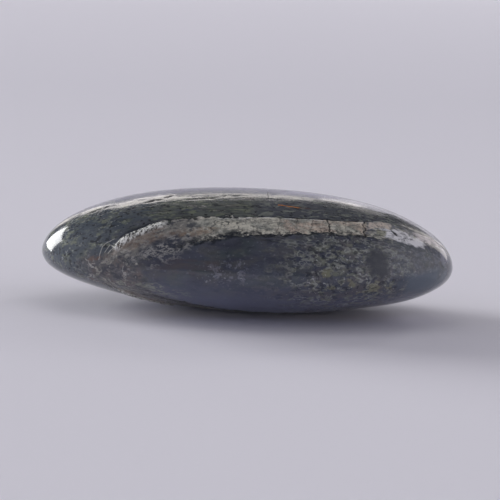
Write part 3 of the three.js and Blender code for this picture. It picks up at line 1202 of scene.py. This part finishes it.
@dataclass
class PalmStone:
    """The stone itself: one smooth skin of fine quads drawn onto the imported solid."""

    node: str = "serpentine_stone"
    slot: str = "polished_serpentine"
    body: str = "root"
    cells: tuple[int, int, int] = (170, 96, 50)
    most_cuts: int = 100
    aligned: float = 0.9  # how nearly an edge runs along an axis, as a cosine
    smoothing_passes: int = 12
    weld_mm: float = 0.001
    guide_rounding: int = 3
    fine_along_mm: tuple[float, float] = (-21, 27)
    fine_square_mm: tuple[float, float] = (-10.3, -3.2)
    fine_above_mm: float = 9
    fine_cuts: int = 2
    finish: PolishedSerpentine = field(default_factory=PolishedSerpentine)

    def smooth_guide(self) -> bpy.types.Object:
        """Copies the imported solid, joins its loose triangles and rounds its facets.

        Returns:
            The rounded copy, which the skin is drawn onto.
        """
        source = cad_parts[self.node]
        guide = bpy.data.objects.new("smooth_guide", source.data.copy())
        bpy.context.scene.collection.objects.link(guide)
        bpy.ops.object.select_all(action="DESELECT")
        guide.select_set(True)
        bpy.context.view_layer.objects.active = guide
        bpy.ops.object.mode_set(mode="EDIT")
        bpy.ops.mesh.select_all(action="SELECT")
        bpy.ops.mesh.remove_doubles(threshold=self.weld_mm * MM)
        bpy.ops.mesh.tris_convert_to_quads()
        bpy.ops.object.mode_set(mode="OBJECT")
        rounding = guide.modifiers.new("rounding", "SUBSURF")
        rounding.levels = rounding.render_levels = self.guide_rounding
        bpy.ops.object.modifier_apply(modifier=rounding.name)
        return guide

    def quad_ball(self) -> bpy.types.Object:
        """Makes a ball of radius 1 from a cube whose faces are cut into fine cells.

        Subdivide takes only so many cuts at once, so where an axis needs more, the cells of the
        first pass are halved until they are small enough.

        Returns:
            The ball.
        """
        bpy.ops.object.select_all(action="DESELECT")
        bpy.ops.mesh.primitive_cube_add(size=2)
        ball = bpy.context.object
        for axis, cells in enumerate(self.cells):
            passes = 1
            while cells / passes > self.most_cuts:
                passes *= 2
            self.cut_along(ball, axis, cells // passes - 1)
            for _ in range(passes.bit_length() - 1):
                self.cut_along(ball, axis, 1)
        cast = ball.modifiers.new("to_ball", "CAST")
        cast.factor = 1.0
        cast.use_radius_as_size = False
        cast.size = 1.0
        bpy.ops.object.modifier_apply(modifier=cast.name)
        return ball

    def cut_along(self, ball: bpy.types.Object, axis: int, cuts: int) -> None:
        """Cuts every edge that runs along one axis.

        Args:
            ball: The cube being cut.
            axis: 0, 1 or 2 for X, Y or Z.
            cuts: How many cuts each edge takes.
        """
        mesh = ball.data
        bpy.ops.object.mode_set(mode="EDIT")
        bpy.ops.mesh.select_mode(type="EDGE")
        bpy.ops.mesh.select_all(action="DESELECT")
        bpy.ops.object.mode_set(mode="OBJECT")
        for edge in mesh.edges:
            start, end = (mesh.vertices[i].co for i in edge.vertices)
            run = end - start
            edge.select = abs(run[axis]) > self.aligned * run.length
        bpy.ops.object.mode_set(mode="EDIT")
        bpy.ops.mesh.subdivide(number_cuts=cuts)
        bpy.ops.object.mode_set(mode="OBJECT")

    def cut_finer(self, stone: bpy.types.Object) -> None:
        """Cuts the cells round the vein finer, so that its cracks can be modelled.

        Args:
            stone: The skin before it is drawn onto the solid.
        """
        bpy.ops.object.mode_set(mode="EDIT")
        bpy.ops.mesh.select_mode(type="FACE")
        bpy.ops.mesh.select_all(action="DESELECT")
        bpy.ops.object.mode_set(mode="OBJECT")
        facing = Vector(self.finish.vein.facing)
        for face in stone.data.polygons:
            place = face.center / MM
            near_vein = self.fine_square_mm[0] < place @ facing < self.fine_square_mm[1]
            in_run = self.fine_along_mm[0] < place.x < self.fine_along_mm[1]
            face.select = near_vein and in_run and place.y < 0 and place.z > self.fine_above_mm
        bpy.ops.object.mode_set(mode="EDIT")
        bpy.ops.mesh.subdivide(number_cuts=self.fine_cuts, ngon=False)
        bpy.ops.object.mode_set(mode="OBJECT")

    @staticmethod
    def fill_box(stone: bpy.types.Object, low: Vector, high: Vector) -> None:
        """Stretches the skin by the hair's breadth that smoothing took off it.

        Args:
            stone: The smoothed skin.
            low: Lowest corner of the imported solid.
            high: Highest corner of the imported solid.
        """
        corners = [Vector(corner) for corner in stone.bound_box]
        skin_low, skin_high = corners[0], corners[6]  # a bounding box's opposite corners
        ratio = [(high[i] - low[i]) / (skin_high[i] - skin_low[i]) for i in range(3)]
        stone.scale = ratio
        stone.location = [low[i] - skin_low[i] * ratio[i] for i in range(3)]
        bpy.ops.object.transform_apply(location=True, rotation=True, scale=True)

    def build(self) -> bpy.types.Object:
        """Models the stone's skin and dresses it.

        Returns:
            The stone object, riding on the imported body.
        """
        low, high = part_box(self.node)
        guide = self.smooth_guide()
        stone = self.quad_ball()
        stone.name = self.node + "_skin"
        half = (high - low) / 2
        stone.scale = half
        stone.location = (low + high) / 2
        bpy.ops.object.transform_apply(location=True, rotation=True, scale=True)
        self.cut_finer(stone)
        wrap = stone.modifiers.new("onto_guide", "SHRINKWRAP")
        wrap.target = guide
        wrap.wrap_method = "NEAREST_SURFACEPOINT"
        bpy.ops.object.modifier_apply(modifier=wrap.name)
        smooth = stone.modifiers.new("polish", "SMOOTH")
        smooth.iterations = self.smoothing_passes
        bpy.ops.object.modifier_apply(modifier=smooth.name)
        self.fill_box(stone, low, high)
        self.finish.carve(stone)
        bpy.ops.object.shade_smooth()
        bpy.data.objects.remove(guide)
        stone.data.materials.append(self.finish.material())
        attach(stone, self.body)
        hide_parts(self.node)
        return stone


def main() -> None:
    """Builds the stone, the paper, the light and the camera in that order, and reports each."""
    logging.basicConfig(level=logging.INFO, format="%(name)s: %(message)s")
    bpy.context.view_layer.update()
    bpy.context.scene.view_settings.view_transform = "Standard"
    for maker in (PalmStone(), PaperSweep()):
        piece = maker.build()
        log.info("%s: %d faces", piece.name, len(piece.data.polygons))
    log.info("studio light: %d panels", len(StudioLight().build()))
    camera = TableCamera().build()
    log.info("%s: %.1f mm lens", camera.name, camera.data.lens)


if __name__ == "__main__":
    main()
